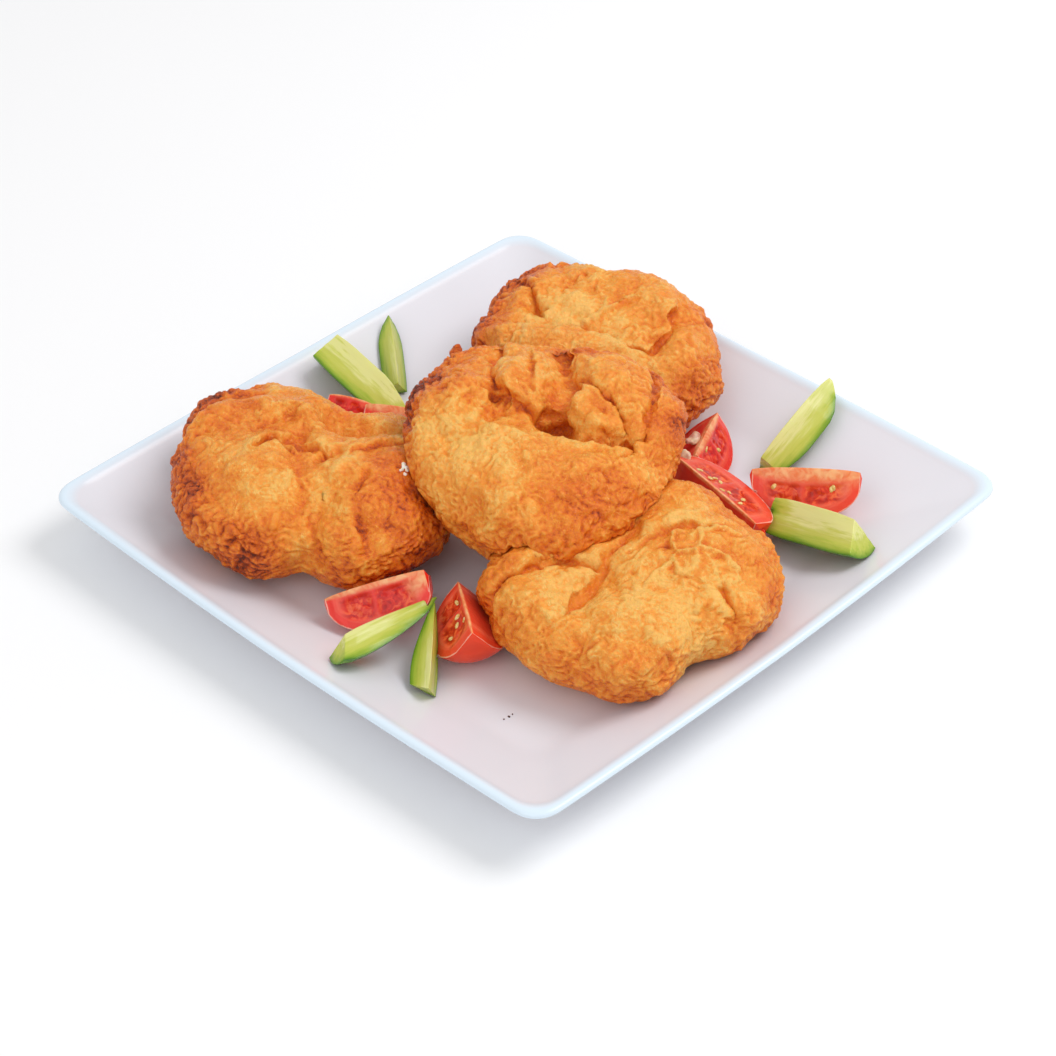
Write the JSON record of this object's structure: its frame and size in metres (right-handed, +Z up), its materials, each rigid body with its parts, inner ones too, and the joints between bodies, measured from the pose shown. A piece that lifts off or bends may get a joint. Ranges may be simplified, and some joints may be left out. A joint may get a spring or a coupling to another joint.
{
  "type": "plate of cheese-filled fried dough",
  "caption": "Golden fried dough cushions piled on a square white coupe plate, with tomato and cucumber wedges tucked round them.",
  "frame": {"origin": "centre of the plate's footprint, on the surface that its foot stands on", "axes": "+Z up; X and Y run along the plate's sides, and the food is laid out along its diagonals"},
  "size_m": [0.2644, 0.2644, 0.0773],
  "materials": {
    "plate_glaze": "glossy white porcelain glaze, faintly blue on the rim",
    "fried_crust": "fried dough crust, golden with browned edges, slightly oily",
    "tomato": "wet cut tomato with glossy skin",
    "cucumber": "wet pale cucumber flesh with green skin"
  },
  "bodies": {
    "root": {"plate": "plate_glaze", "dough_left": "fried_crust", "dough_top": "fried_crust", "dough_right": "fried_crust", "dough_back": "fried_crust", "tomato_front_left": "tomato", "tomato_front": "tomato", "tomato_right_back": "tomato", "tomato_right_middle": "tomato", "tomato_right": "tomato", "tomato_back_left": "tomato", "tomato_back_middle": "tomato", "cucumber_front_left": "cucumber", "cucumber_front": "cucumber", "cucumber_right": "cucumber", "cucumber_right_back": "cucumber", "cucumber_back_left": "cucumber", "cucumber_back": "cucumber"}
  },
  "joints": []
}
